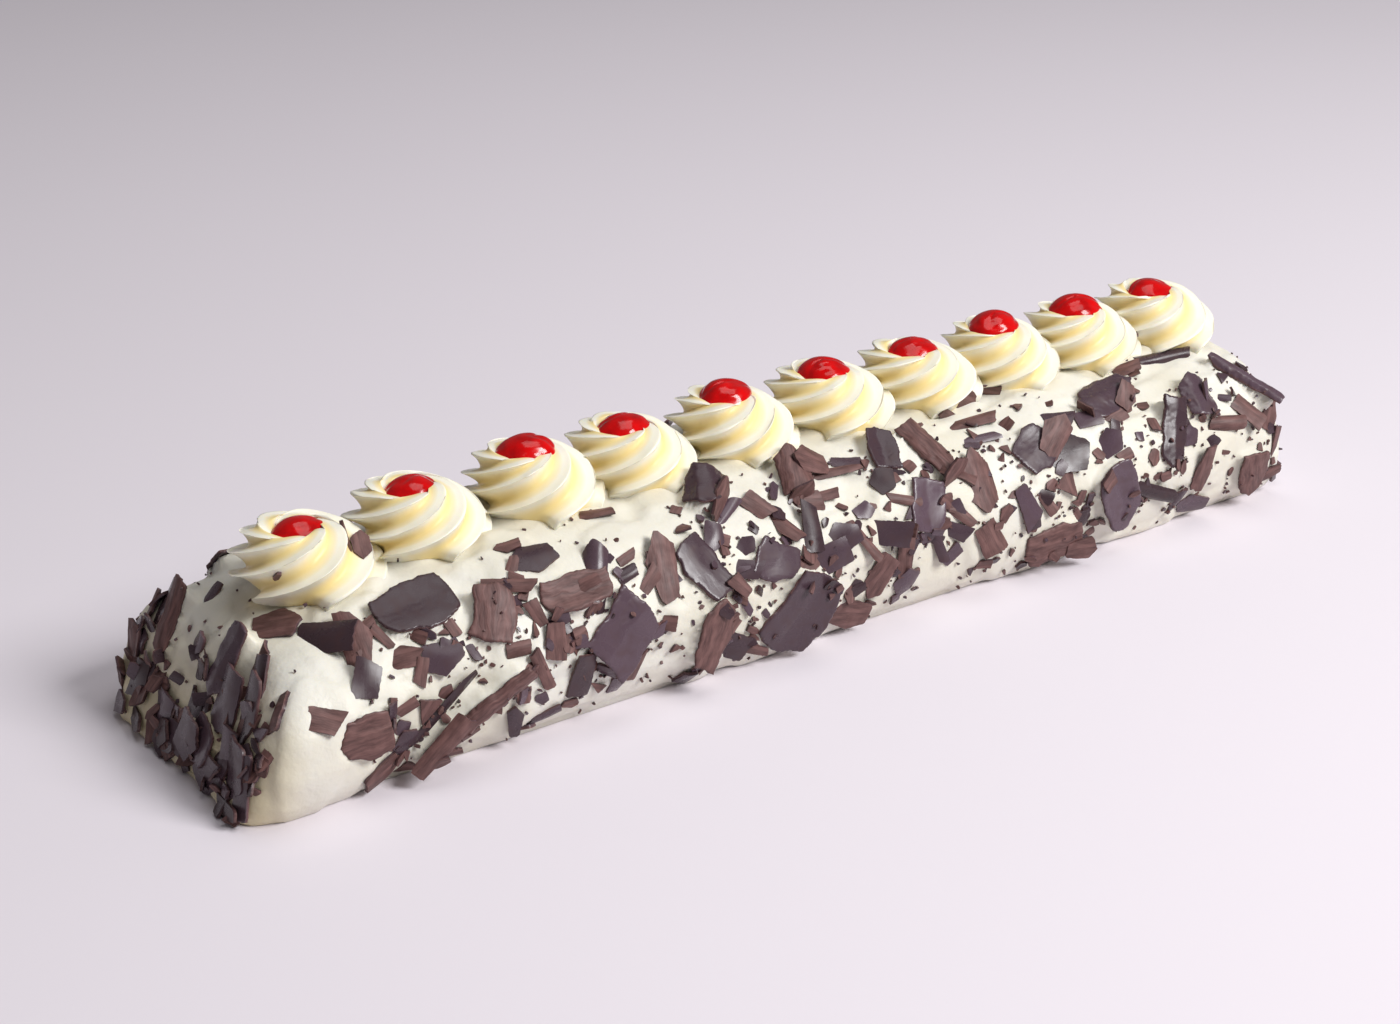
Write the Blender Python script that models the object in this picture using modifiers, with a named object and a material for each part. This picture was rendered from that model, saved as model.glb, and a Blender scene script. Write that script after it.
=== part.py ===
"""A Swiss roll cake coated in cream, with ten piped rosettes, ten cherries and large chocolate shards.

Metres, +Z up. The origin is the middle of the base. +X runs along the roll, and -Y is its front.
"""

import math
import random

import bmesh
import bpy
from mathutils import Matrix, Vector
from mathutils.bvhtree import BVHTree

MM = 0.001
GAP = 0.3 * MM  # clearance kept between pieces that touch

# The roll.
HALF_LENGTH = 217 * MM
HALF_WIDTH = 53 * MM
CROWN_HEIGHT = 57 * MM
CROWN_DROP = 4 * MM  # how much lower the top is at the ends
LEFT_SLUMP = 10 * MM  # how much further the top sinks at the left end
SLUMP_START = -110 * MM
BELLY_HEIGHT = 20 * MM  # where the sides stand out furthest
LOWER_DEPTH = 34 * MM  # vertical half-axis of the curve below the belly
UPPER_POWER = 2.3
LOWER_POWER = 2.2
LEFT_ROUNDING = 9 * MM
RIGHT_ROUNDING = 13 * MM
LEFT_LEAN = 0.44  # how far the left end leans in, per metre of height
RIGHT_LEAN = -0.12
LEAN_REACH = 60 * MM
SWAY = 0.8 * MM  # how far the hand-spread coat wanders from the straight
SECTION_STEPS = 18
LENGTH_STEPS = 15

# The rosettes: place along the roll, radius, rim height above the cake, first ridge's angle.
ROSETTES = [
    (-169, 24.0, 18.0, 10),
    (-129, 22.5, 17.0, 24),
    (-86, 23.0, 18.0, 4),
    (-49, 22.5, 17.5, 30),
    (-7, 23.0, 18.0, 16),
    (34, 23.5, 17.0, 38),
    (73, 23.5, 17.0, 8),
    (112, 23.0, 18.5, 27),
    (151, 23.5, 18.0, 14),
    (189, 24.0, 19.0, 35),
]
RIDGES = 8
ROSETTE_TWIST = math.radians(135)  # turn of each ridge from the base to the rim
SQUEEZED_SHARE = 0.2  # share of the room beside a swirl in which it is pressed together
ROSETTE_LEAN = -0.3  # sideways shift of the swirl, per metre of height
# Share of the rim height, and of the radius, at each turn of the swirl. The first is under the cream.
ROSETTE_LEVELS = [
    (-0.30, 0.80),
    (0.00, 0.93),
    (0.14, 1.00),
    (0.40, 0.99),
    (0.64, 0.89),
    (0.85, 0.74),
    (1.00, 0.55),
    (0.90, 0.34),
]
# One ridge: place in its share of the circle, and share of the radius.
RIDGE_SHAPE = [(0.00, 1.00), (0.48, 0.95), (0.86, 0.83)]

# The cherries.
CHERRY_HALF_SIZE = Vector((10.8, 9.4, 8.0)) * MM
CHERRY_SINKS = (7.8, 7.4, 5.5, 6.7, 5.2, 5.7, 6.7, 4.9, 4.9, 6.7)  # centre below the rosette's rim
CHERRY_SEGMENTS = 12
CHERRY_RINGS = 7

# The shards.
SHARD_THICKNESS = 1.3 * MM
SHARD_CORNERS = 8
STRIP_ANGLE = math.radians(38)  # most that one flat strip of a curled shard turns
BEND_SNAP = 0.9 * MM  # a corner nearer than this to a bend line is moved onto it
SETTLE_STEP = 0.2 * MM
# Side it lies on, place along, height, turn in degrees, length, width, curl in degrees and tip in degrees.
# A curl over 0 bows out from the cream, one under 0 is a dish; a tip lifts the far end.
SHARDS = [
    ("front", -149, 48, 5, 28, 21, 8, 0),
    ("front", -130, 43, 62, 21, 16, 45, 4),
    ("front", -179, 23, 8, 18, 15, 30, 5),
    ("front", -144, 19, 35, 45, 10, 170, 4),
    ("front", -101, 43, -4, 27, 14, -70, 6),
    ("front", -88, 30, 38, 27, 23, 30, 3),
    ("front", -54, 40, 112, 24, 16, 12, 3),
    ("front", -39, 53, 60, 20, 17, 110, 8),
    ("front", -57, 20, 66, 27, 14, 10, 3),
    ("front", -27, 36, 150, 19, 15, 8, 3),
    ("front", -18, 18, 48, 33, 28, -22, 3),
    ("front", -5, 52, 78, 19, 15, 100, 14),
    ("front", 32, 52, 72, 21, 14, -60, 8),
    ("front", 50, 50, 105, 28, 13, 110, 5),
    ("front", 38, 38, 76, 22, 16, -25, 4),
    ("front", 91, 44, 28, 20, 16, 18, 4),
    ("front", 133, 50, 10, 29, 17, 75, 5),
    ("front", 152, 38, 66, 29, 12, 50, 4),
    ("front", 170, 44, 84, 20, 16, 95, 5),
    ("front", 196, 45, -62, 33, 9, 190, 5),
    ("front", 191, 15, 92, 20, 18, 25, 5),
    ("front", 122, 23, 112, 30, 18, -30, 5),
    ("front", 93, 13, 6, 27, 15, 35, 5),
    ("left", -11, 36, 82, 28, 13, 40, 5),
    ("left", 27, 35, 95, 28, 11, 60, 5),
    ("left", -13, 13, 60, 17, 15, -30, 6),
    ("right", -15, 32, 70, 21, 15, 30, 5),
    ("right", 18, 17, 105, 23, 16, -30, 5),
    ("back", -173, 38, 60, 26, 16, 40, 5),
    ("back", -136, 21, 20, 29, 21, -20, 4),
    ("back", -110, 43, 110, 23, 14, 90, 6),
    ("back", -72, 26, 70, 27, 19, 15, 3),
    ("back", -38, 45, 35, 26, 15, -50, 5),
    ("back", -9, 17, 100, 29, 18, 30, 4),
    ("back", 26, 40, 55, 24, 17, 12, 3),
    ("back", 61, 23, 130, 31, 22, -18, 4),
    ("back", 96, 44, 80, 22, 14, 100, 6),
    ("back", 134, 26, 25, 35, 10, 170, 4),
    ("back", 174, 35, 75, 26, 18, 35, 5),
]
RAY_START = 300 * MM

CREAM = (0.90, 0.86, 0.72, 1)
BUTTERCREAM = (0.93, 0.86, 0.62, 1)
CHERRY_RED = (0.55, 0.005, 0.005, 1)
CHOCOLATE = (0.09, 0.05, 0.045, 1)


def clear_scene():
    for old in list(bpy.data.objects):
        bpy.data.objects.remove(old)


def new_collection(name, hidden=False):
    collection = bpy.data.collections.new(name)
    bpy.context.scene.collection.children.link(collection)
    collection.hide_render = hidden
    return collection


def finish(name, colour, roughness):
    """A plain Principled material."""
    material = bpy.data.materials.new(name)
    material.use_nodes = True
    shader = material.node_tree.nodes["Principled BSDF"]
    shader.inputs["Base Color"].default_value = colour
    shader.inputs["Roughness"].default_value = roughness
    shader.inputs["Metallic"].default_value = 0.0
    return material


def add_object(name, bm, material, collection):
    """Puts a bmesh in the scene as an object, with its faces pointing out."""
    bmesh.ops.recalc_face_normals(bm, faces=bm.faces)
    if bm.calc_volume(signed=True) < 0:
        bmesh.ops.reverse_faces(bm, faces=bm.faces)
    mesh = bpy.data.meshes.new(name)
    bm.to_mesh(mesh)
    bm.free()
    mesh.materials.append(material)
    made = bpy.data.objects.new(name, mesh)
    collection.objects.link(made)
    return made


def crown(x):
    """Height of the roll's top line."""
    slump = max(0.0, (SLUMP_START - x) / (SLUMP_START + HALF_LENGTH)) ** 1.5
    level = CROWN_HEIGHT - CROWN_DROP * (x / HALF_LENGTH) ** 2 - LEFT_SLUMP * slump
    return level + 0.6 * SWAY * math.sin(x / (31 * MM))


def half_section(x, inset):
    """(y, z) points of the section from the base up to the middle of the top, on the +Y side."""
    width = HALF_WIDTH - inset
    top = crown(x) - inset
    below = []
    for height in (0.0, 0.3 * BELLY_HEIGHT, 0.65 * BELLY_HEIGHT):
        rise = (BELLY_HEIGHT - height) / LOWER_DEPTH
        below.append((width * (1 - rise**LOWER_POWER) ** (1 / LOWER_POWER), height))
    above = []
    for step in range(SECTION_STEPS // 2 + 1):
        angle = math.pi * step / SECTION_STEPS
        y = width * math.cos(angle) ** (2 / UPPER_POWER) if step < SECTION_STEPS // 2 else 0.0
        z = BELLY_HEIGHT + (top - BELLY_HEIGHT) * math.sin(angle) ** (2 / UPPER_POWER)
        above.append((y, z))
    return below + above


def roll_ring(x, inset):
    """The whole section at x, from the front of the base over the top to the back of the base."""
    half = half_section(x, inset)
    sway = SWAY * math.sin(x / (47 * MM) + 1.0)
    front = [(sway * z / BELLY_HEIGHT - y, z) for y, z in half]
    back = [(sway * z / BELLY_HEIGHT + y, z) for y, z in reversed(half[:-1])]
    ring = []
    for y, z in front + back:
        to_left = max(0.0, 1 - (x + HALF_LENGTH) / LEAN_REACH)
        to_right = max(0.0, 1 - (HALF_LENGTH - x) / LEAN_REACH)
        ring.append(Vector((x + z * (LEFT_LEAN * to_left + RIGHT_LEAN * to_right), y, z)))
    return ring


def roll_stations():
    """(x, inset) of each ring: a rounded edge at both ends and even steps between."""
    rounding = [math.radians(angle) for angle in (0, 32, 62, 90)]
    edge = [(1 - math.cos(angle), 1 - math.sin(angle)) for angle in rounding]
    left = [(-HALF_LENGTH + depth * LEFT_ROUNDING, inset * LEFT_ROUNDING) for depth, inset in edge]
    right = [(HALF_LENGTH - depth * RIGHT_ROUNDING, inset * RIGHT_ROUNDING) for depth, inset in edge]
    start = left[-1][0]
    step = (right[-1][0] - start) / LENGTH_STEPS
    middle = [(start + step * i, 0.0) for i in range(1, LENGTH_STEPS)]
    return left + middle + right[::-1]


def loft(bm, rings, closed_rings):
    """Joins rings of equal count with quads, and caps the first and the last."""
    rows = [[bm.verts.new(point) for point in ring] for ring in rings]
    count = len(rows[0])
    for lower, upper in zip(rows, rows[1:]):
        for i in range(count if closed_rings else count - 1):
            j = (i + 1) % count
            bm.faces.new((lower[i], lower[j], upper[j], upper[i]))
    bm.faces.new(rows[0])
    bm.faces.new(rows[-1])
    return rows


def make_roll(material, collection):
    """The cream-coated roll. Only its outside shows, so it is one solid."""
    bm = bmesh.new()
    rows = loft(bm, [roll_ring(x, inset) for x, inset in roll_stations()], False)
    bm.faces.new([row[0] for row in rows] + [row[-1] for row in reversed(rows)])
    roll = add_object("roll", bm, material, collection)
    roll.data.shade_smooth()
    roll.data.set_sharp_from_angle(angle=math.radians(50))
    return roll


def solid_tree(piece, grow=0.0):
    """A search tree of the evaluated piece in world space, each vertex moved out by grow."""
    graph = bpy.context.evaluated_depsgraph_get()
    mesh = piece.evaluated_get(graph).to_mesh()
    turn = piece.matrix_world.to_3x3()
    points = [piece.matrix_world @ v.co + (turn @ v.normal).normalized() * grow for v in mesh.vertices]
    faces = [tuple(face.vertices) for face in mesh.polygons]
    return BVHTree.FromPolygons(points, faces)


def grown_copy(piece, name, grow, collection):
    """A cutter: the piece's own mesh, moved out along its normals."""
    cutter = bpy.data.objects.new(name, piece.data.copy())
    cutter.matrix_world = piece.matrix_world
    for vertex in cutter.data.vertices:
        vertex.co += vertex.normal * grow
    cutter.hide_render = True
    cutter.display_type = "WIRE"
    collection.objects.link(cutter)
    return cutter


def cut(piece, cutter):
    modifier = piece.modifiers.new("cut_" + cutter.name, "BOOLEAN")
    modifier.operation = "DIFFERENCE"
    modifier.object = cutter


def lean_at(z):
    """How far along the roll the swirls have shifted at height z."""
    return ROSETTE_LEAN * (z - CROWN_HEIGHT)


def squeeze(reach, room):
    """Presses together what would pass the last fifth of the room, so that it stays inside."""
    soft = SQUEEZED_SHARE * room
    beyond = abs(reach) - (room - soft)
    if beyond <= 0:
        return reach
    return math.copysign(room - soft * math.exp(-beyond / soft), reach)


def rosette_ring(centre, radius, height, share, turn, rooms):
    """One turn of the swirl: a ring of leaning ridges, pressed between its two neighbours."""
    ring = []
    for ridge in range(RIDGES):
        for place, reach in RIDGE_SHAPE:
            angle = turn + 2 * math.pi * (ridge + place) / RIDGES
            across = radius * share * reach * math.cos(angle)
            x = centre.x + squeeze(across, rooms[0] if across < 0 else rooms[1])
            y = centre.y + radius * share * reach * math.sin(angle)
            z = centre.z + height
            ring.append(Vector((x + lean_at(z), y, z)))
    return ring


def make_rosette(number, top_of_cream, rooms, material, collection):
    """A star-piped swirl whose ridges wind up to a rim round the cherry."""
    along, radius, rim, first = ROSETTES[number]
    centre = Vector((along * MM, 0.0, top_of_cream))
    rings = []
    for rise, share in ROSETTE_LEVELS:
        inside = (rise, share) == ROSETTE_LEVELS[-1]
        turn = math.radians(first) + ROSETTE_TWIST * (2.0 - rise if inside else max(rise, 0.0))
        rings.append(rosette_ring(centre, radius * MM, rise * rim * MM, share, turn, rooms))
    bm = bmesh.new()
    loft(bm, rings, True)
    rosette = add_object(f"rosette_{number + 1:02d}", bm, material, collection)
    rosette.data.shade_smooth()
    rosette.data.set_sharp_from_angle(angle=math.radians(35))
    return rosette


def make_cherry(number, centre, material, collection):
    """A glace cherry, a little flattened, pressed into its rosette."""
    bm = bmesh.new()
    bmesh.ops.create_uvsphere(bm, u_segments=CHERRY_SEGMENTS, v_segments=CHERRY_RINGS, radius=1.0)
    bmesh.ops.scale(bm, vec=CHERRY_HALF_SIZE, verts=bm.verts)
    cherry = add_object(f"cherry_{number + 1:02d}", bm, material, collection)
    cherry.location = centre
    cherry.rotation_euler = (0.0, math.radians(-8), math.radians(12 * math.sin(2.1 * number)))
    cherry.data.shade_smooth()
    return cherry


def shard_outline(bm, length, width, rng):
    """A flat broken plate: a circle of corners pushed out to an uneven, nearly square outline."""
    bmesh.ops.create_circle(bm, cap_ends=True, segments=SHARD_CORNERS, radius=1.0)
    for vertex in bm.verts:
        angle = math.atan2(vertex.co.y, vertex.co.x) + rng.uniform(-0.24, 0.24)
        fill = max(abs(math.cos(angle)), abs(math.sin(angle))) ** -0.75
        reach = fill * rng.uniform(0.80, 1.05)
        vertex.co = (length / 2 * reach * math.cos(angle), width / 2 * reach * math.sin(angle), 0)


def curl_shard(bm, width, curl):
    """Cuts the plate in strips along its length and bends it about that length."""
    strips = max(2, math.ceil(abs(curl) / STRIP_ANGLE))
    for i in range(1, strips):
        place = Vector((0, width * (i / strips - 0.5), 0))
        for vertex in bm.verts:
            if abs(vertex.co.y - place.y) < BEND_SNAP:
                vertex.co.y = place.y
        geometry = bm.verts[:] + bm.edges[:] + bm.faces[:]
        bmesh.ops.bisect_plane(bm, geom=geometry, dist=1e-5, plane_co=place, plane_no=(0, 1, 0))
    radius = width / curl
    for vertex in bm.verts:
        angle = vertex.co.y / radius
        vertex.co.y = radius * math.sin(angle)
        vertex.co.z = radius * (math.cos(angle) - 1)


def surface_frame(tree, side, along, height):
    """Where a shard meets the cream: the point, and axes with X along the cake and Z out of it."""
    rays = {
        "front": (Vector((along, -RAY_START, height)), Vector((0, 1, 0)), Vector((1, 0, 0))),
        "back": (Vector((along, RAY_START, height)), Vector((0, -1, 0)), Vector((-1, 0, 0))),
        "left": (Vector((-RAY_START, along, height)), Vector((1, 0, 0)), Vector((0, -1, 0))),
        "right": (Vector((RAY_START, along, height)), Vector((-1, 0, 0)), Vector((0, 1, 0))),
    }
    start, direction, across = rays[side]
    point, normal, _, _ = tree.ray_cast(start, direction)
    up = normal.cross(across).normalized()
    across = up.cross(normal)
    return point, normal, Matrix((across, up, normal)).transposed().to_4x4()


def settle(shard, outward, obstacles):
    """Moves a shard straight out until it is clear of everything that is already in place."""
    moved = True
    while moved:
        bpy.context.view_layer.update()
        tree = solid_tree(shard, GAP)
        moved = any(tree.overlap(other) for other in obstacles)
        if moved:
            shard.location += outward * SETTLE_STEP


def make_shard(number, roll_tree, obstacles, material, collection):
    side, along, height, turn, length, width, curl, tip = SHARDS[number]
    rng = random.Random(number * 17 + 5)
    bm = bmesh.new()
    shard_outline(bm, length * MM, width * MM, rng)
    curl_shard(bm, width * MM, math.radians(curl))
    shard = add_object(f"chocolate_shard_{number + 1:02d}", bm, material, collection)
    point, outward, axes = surface_frame(roll_tree, side, along * MM, height * MM)
    spin = Matrix.Rotation(math.radians(turn), 4, "Z") @ Matrix.Rotation(math.radians(-tip), 4, "Y")
    shard.matrix_world = Matrix.Translation(point + outward * SHARD_THICKNESS) @ axes @ spin
    wall = shard.modifiers.new("thickness", "SOLIDIFY")
    wall.thickness = SHARD_THICKNESS
    wall.offset = 0.0
    settle(shard, outward, obstacles)
    return shard


def main():
    clear_scene()
    parts = new_collection("swiss_roll_cake")
    cutters = new_collection("cutters", hidden=True)
    cream = finish("cream", CREAM, 0.55)
    buttercream = finish("buttercream", BUTTERCREAM, 0.45)
    red = finish("cherry", CHERRY_RED, 0.15)
    chocolate = finish("chocolate", CHOCOLATE, 0.4)

    roll = make_roll(cream, parts)
    roll_cutter = grown_copy(roll, "roll_cutter", GAP, cutters)
    roll_tree = solid_tree(roll)
    obstacles = [roll_tree]

    for number, (along, _, rim, _) in enumerate(ROSETTES):
        middle = along * MM
        before = ROSETTES[number - 1][0] * MM if number else -HALF_LENGTH * 2
        after = ROSETTES[number + 1][0] * MM if number + 1 < len(ROSETTES) else HALF_LENGTH * 2
        rooms = ((middle - before - GAP) / 2, (after - middle - GAP) / 2)
        rosette = make_rosette(number, crown(middle), rooms, buttercream, parts)
        height = crown(middle) + (rim - CHERRY_SINKS[number]) * MM
        centre = Vector((middle + lean_at(height), 0.0, height))
        cherry = make_cherry(number, centre, red, parts)
        bpy.context.view_layer.update()
        cut(rosette, roll_cutter)
        cut(rosette, grown_copy(cherry, f"cherry_cutter_{number + 1:02d}", GAP, cutters))
        bpy.context.view_layer.update()
        obstacles += [solid_tree(rosette), solid_tree(cherry)]

    for number in range(len(SHARDS)):
        shard = make_shard(number, roll_tree, obstacles, chocolate, parts)
        obstacles.append(solid_tree(shard))


main()
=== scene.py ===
# %% [markdown]
# # A Swiss roll cake, piece by piece
#
# The cake is a long roll coated in whipped cream. Ten rosettes of buttercream stand in a row along the
# top, each with a glazed cherry, and shards of shaved chocolate are pressed into the sides and ends.
#
# The solid model of the cake is already fixed: a plain roll, ten swirls, ten cherries and the largest
# shards. This lesson gives each of them its real surface, and adds the small flakes and crumbs.

import math
import random

import bpy
import numpy as np
from mathutils import Matrix, Vector, noise
from mathutils.bvhtree import BVHTree


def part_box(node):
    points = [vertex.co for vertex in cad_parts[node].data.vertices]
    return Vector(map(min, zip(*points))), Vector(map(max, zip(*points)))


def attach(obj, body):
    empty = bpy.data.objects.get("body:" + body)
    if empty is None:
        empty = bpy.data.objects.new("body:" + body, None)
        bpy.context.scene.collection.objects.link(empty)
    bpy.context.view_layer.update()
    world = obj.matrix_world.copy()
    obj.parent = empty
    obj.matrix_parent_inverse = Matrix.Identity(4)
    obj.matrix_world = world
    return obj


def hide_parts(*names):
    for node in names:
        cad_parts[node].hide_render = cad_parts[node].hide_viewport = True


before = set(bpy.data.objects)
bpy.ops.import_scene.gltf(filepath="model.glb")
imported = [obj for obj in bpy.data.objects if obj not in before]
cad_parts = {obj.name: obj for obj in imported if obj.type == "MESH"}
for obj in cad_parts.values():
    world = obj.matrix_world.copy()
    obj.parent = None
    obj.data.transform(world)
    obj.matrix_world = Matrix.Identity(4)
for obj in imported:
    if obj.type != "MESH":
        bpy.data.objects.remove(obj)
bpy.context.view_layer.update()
MM = 0.001

# %% [markdown]
# ## The camera
#
# The camera stands in front of the cake, to its left and above it, and looks along the roll. A lens of
# 66 mm keeps the far end from shrinking too much.

# %% Place the camera
camera_place = Vector((-0.4849, -0.6431, 0.3837))
camera_target = Vector((0.0242, 0.0629, 0.0))
bpy.ops.object.camera_add(location=camera_place)
camera = bpy.context.object
camera.rotation_euler = (camera_target - camera_place).to_track_quat("-Z", "Y").to_euler()
camera.data.lens = 66.1
camera.data.sensor_width = 36
camera.data.clip_end = 50
bpy.context.scene.camera = camera
print("camera is", round((camera_target - camera_place).length, 2), "m from the cake")

# %% [markdown]
# ## Helpers for modelling by hand
#
# Blender's operators act on whatever is selected, so a few helpers keep that tidy: they deselect
# everything, pick one piece, and apply its modifiers.


# %% Selecting and applying
def pick(piece):
    """Makes one piece the only selected and the active one."""
    bpy.ops.object.select_all(action="DESELECT")
    piece.select_set(True)
    bpy.context.view_layer.objects.active = piece


def apply_modifier(piece, kind, **settings):
    """Adds a modifier with these settings and applies it at once."""
    pick(piece)
    modifier = piece.modifiers.new(kind.lower(), kind)
    for name, value in settings.items():
        setattr(modifier, name, value)
    bpy.ops.object.modifier_apply(modifier=modifier.name)


def settle_in_place(piece):
    """Moves the place, turn and scale of a piece into its mesh."""
    pick(piece)
    bpy.ops.object.transform_apply(location=True, rotation=True, scale=True)


def make_smooth(piece, angle=180):
    pick(piece)
    bpy.ops.object.shade_smooth_by_angle(angle=math.radians(angle))


# %% [markdown]
# A CAD solid is loose triangles and is never changed. A piece that replaces one starts as a copy of it,
# whose doubled points are merged in edit mode.


# %% Copying a solid
def copy_solid(node, name):
    """A free copy of a solid, with its triangles joined up."""
    piece = bpy.data.objects.new(name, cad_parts[node].data.copy())
    bpy.context.collection.objects.link(piece)
    piece.data.materials.clear()
    pick(piece)
    bpy.ops.object.mode_set(mode="EDIT")
    bpy.ops.mesh.select_all(action="SELECT")
    bpy.ops.mesh.remove_doubles(threshold=0.00002)
    bpy.ops.object.mode_set(mode="OBJECT")
    return piece


def points_of(mesh, what="co"):
    """The mesh's points, or its normals, as an array with a row for each."""
    flat = np.empty(len(mesh.vertices) * 3)
    mesh.vertices.foreach_get(what, flat)
    return flat.reshape(-1, 3)


def move_points(mesh, points):
    mesh.vertices.foreach_set("co", points.astype(np.float32).ravel())
    mesh.update()


def note(mesh, name, values, kind="FLOAT"):
    """Writes a value on each point, for a material to read."""
    layer = mesh.attributes.new(name, kind, "POINT")
    field = "value" if kind == "FLOAT" else "vector"
    layer.data.foreach_set(field, np.asarray(values, dtype=np.float32).ravel())


def field_at(points, size, shift=0.0):
    """Smooth noise between -1 and 1 at each point, with lumps of about the given size."""
    return np.array([noise.noise(Vector(p) / size + Vector((shift, shift, shift))) for p in points])


# %% [markdown]
# ## Materials
#
# Each finish is a small node group around one Principled shader. A helper makes the nodes, so that each
# recipe below reads as a list: what varies, how large it is, and what it changes.


# %% A material kit
class Recipe:
    """Makes the nodes of one material."""

    def __init__(self, name):
        self.material = bpy.data.materials.new(name)
        self.material.use_nodes = True
        self.tree = self.material.node_tree
        self.shader = self.tree.nodes["Principled BSDF"]
        self.place = self.tree.nodes.new("ShaderNodeTexCoord").outputs["Object"]

    def node(self, kind, **inputs):
        made = self.tree.nodes.new("ShaderNode" + kind)
        for name, value in inputs.items():
            self.feed(made.inputs[name.replace("_", " ")], value)
        return made

    def feed(self, socket, value):
        if isinstance(value, bpy.types.NodeSocket):
            self.tree.links.new(value, socket)
        else:
            socket.default_value = value

    def noise(self, size, detail=3.0, where=None, stretch=None):
        """Noise with lumps of the given size in metres, drawn out by the stretch along each axis."""
        start = self.place if where is None else where
        scale = stretch or (1, 1, 1)
        mapped = self.node("Mapping", Vector=start, Scale=[s / size for s in scale])
        return self.node("TexNoise", Vector=mapped.outputs[0], Scale=1.0, Detail=detail).outputs["Fac"]

    def ramp(self, value, low, high, start=0.0, end=1.0):
        made = self.node("MapRange", Value=value)
        made.inputs["From Min"].default_value = low
        made.inputs["From Max"].default_value = high
        made.inputs["To Min"].default_value = start
        made.inputs["To Max"].default_value = end
        return made.outputs["Result"]

    def mix(self, amount, first, second):
        made = self.tree.nodes.new("ShaderNodeMix")
        made.data_type = "RGBA"
        self.feed(made.inputs[0], amount)
        self.feed(made.inputs[6], first)
        self.feed(made.inputs[7], second)
        return made.outputs[2]

    def maths(self, operation, first, second):
        made = self.tree.nodes.new("ShaderNodeMath")
        made.operation = operation
        self.feed(made.inputs[0], first)
        self.feed(made.inputs[1], second)
        return made.outputs[0]

    def noted(self, name):
        """What was noted on the points."""
        made = self.tree.nodes.new("ShaderNodeAttribute")
        made.attribute_name = name
        return made

    def bump(self, height, depth):
        """Fine relief: the height's full range is this deep, in metres."""
        made = self.node("Bump", Height=height, Strength=1.0, Distance=depth)
        self.feed(self.shader.inputs["Normal"], made.outputs[0])

    def set(self, **values):
        for name, value in values.items():
            self.feed(self.shader.inputs[name.replace("_", " ")], value)


def colour(red, green, blue):
    """A colour on the 0 to 255 scale of a paint chart, as the linear values that Blender uses."""
    linear = []
    for value in (red, green, blue):
        share = value / 255
        linear.append(share / 12.92 if share <= 0.04045 else ((share + 0.055) / 1.055) ** 2.4)
    return (*linear, 1.0)


# %% [markdown]
# Whipped cream is nearly white and matt, with faint yellow stains here and there and tiny bubbles. Light
# goes a little way into it, so a small share of subsurface scattering softens the shadows.

# %% The whipped cream
cream = Recipe("whipped_cream")
cream_patches = cream.ramp(cream.noise(0.035), 0.35, 0.65)
cream_colour = cream.mix(cream_patches, colour(226, 223, 213), colour(221, 216, 200))
# The left end of the roll is painted yellower and darker, towards (214, 200, 160): painted shade for the
# end that faces away from the main light.
cream_x = cream.node("SeparateXYZ", Vector=cream.place).outputs["X"]
painted_end_shade = cream.ramp(cream_x, -0.198, -0.212, 0.0, 0.8)
cream_colour = cream.mix(painted_end_shade, cream_colour, colour(214, 200, 160))
cream_stain = cream.ramp(cream.noise(0.006, 4.0), 0.62, 0.80, 0.0, 0.25)
cream.set(
    Base_Color=cream.mix(cream_stain, cream_colour, colour(210, 200, 168)),
    Roughness=cream.ramp(cream.noise(0.012), 0.3, 0.7, 0.42, 0.62),
    Subsurface_Weight=0.12,
    Subsurface_Scale=0.002,
    Subsurface_Radius=(1.0, 0.8, 0.5),
)
cream.bump(cream.noise(0.0022, 2.0), 0.0002)
print("made", cream.material.name)

# %% [markdown]
# Buttercream is yellower and smoother. The piping leaves a groove between each two ridges, and the colour
# there
# is painted a deeper yellow: painted shade and painted bounce light. The note named groove says how deep a
# point lies, and so how much painted shade it takes.

# %% The buttercream
butter = Recipe("piped_buttercream")
# The deeper yellow towards the bottom of each groove is painted shade and painted bounce light.
groove = butter.ramp(butter.noted("groove").outputs["Fac"], 0.5, 1.12)
butter.set(
    Base_Color=butter.mix(groove, colour(243, 239, 222), colour(239, 212, 128)),
    Roughness=butter.ramp(butter.noise(0.008), 0.3, 0.7, 0.32, 0.5),
    Subsurface_Weight=0.15,
    Subsurface_Scale=0.002,
    Subsurface_Radius=(1.0, 0.75, 0.35),
)
butter.bump(butter.noise(0.003, 2.0), 0.00006)
print("made", butter.material.name)

# %% [markdown]
# A glazed cherry is deep red under a coat of syrup, so it takes a clear coat with sharp highlights.

# %% The glazed cherry
glaze = Recipe("glazed_cherry")
glaze.set(
    Base_Color=glaze.mix(glaze.ramp(glaze.noise(0.005), 0.35, 0.7), colour(205, 0, 2), colour(165, 0, 2)),
    Roughness=glaze.ramp(glaze.noise(0.003), 0.3, 0.7, 0.10, 0.24),
    Specular_IOR_Level=0.3,
    Coat_Weight=0.25,
    Coat_Roughness=0.06,
    Subsurface_Weight=0.12,
    Subsurface_Scale=0.002,
    Subsurface_Radius=(1.0, 0.1, 0.1),
)
glaze.bump(glaze.noise(0.0035, 1.0), 0.00015)
print("made", glaze.material.name)

# %% [markdown]
# A shaved flake of chocolate has two faces: the outer one is smooth, with a cool satin sheen, and the one
# that the blade tore is rough and brown, with fine lines along the cut. The points carry three notes: grain
# (the place on the flat flake, before it curled), rough (0 for smooth, 1 for torn) and tone.

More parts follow.
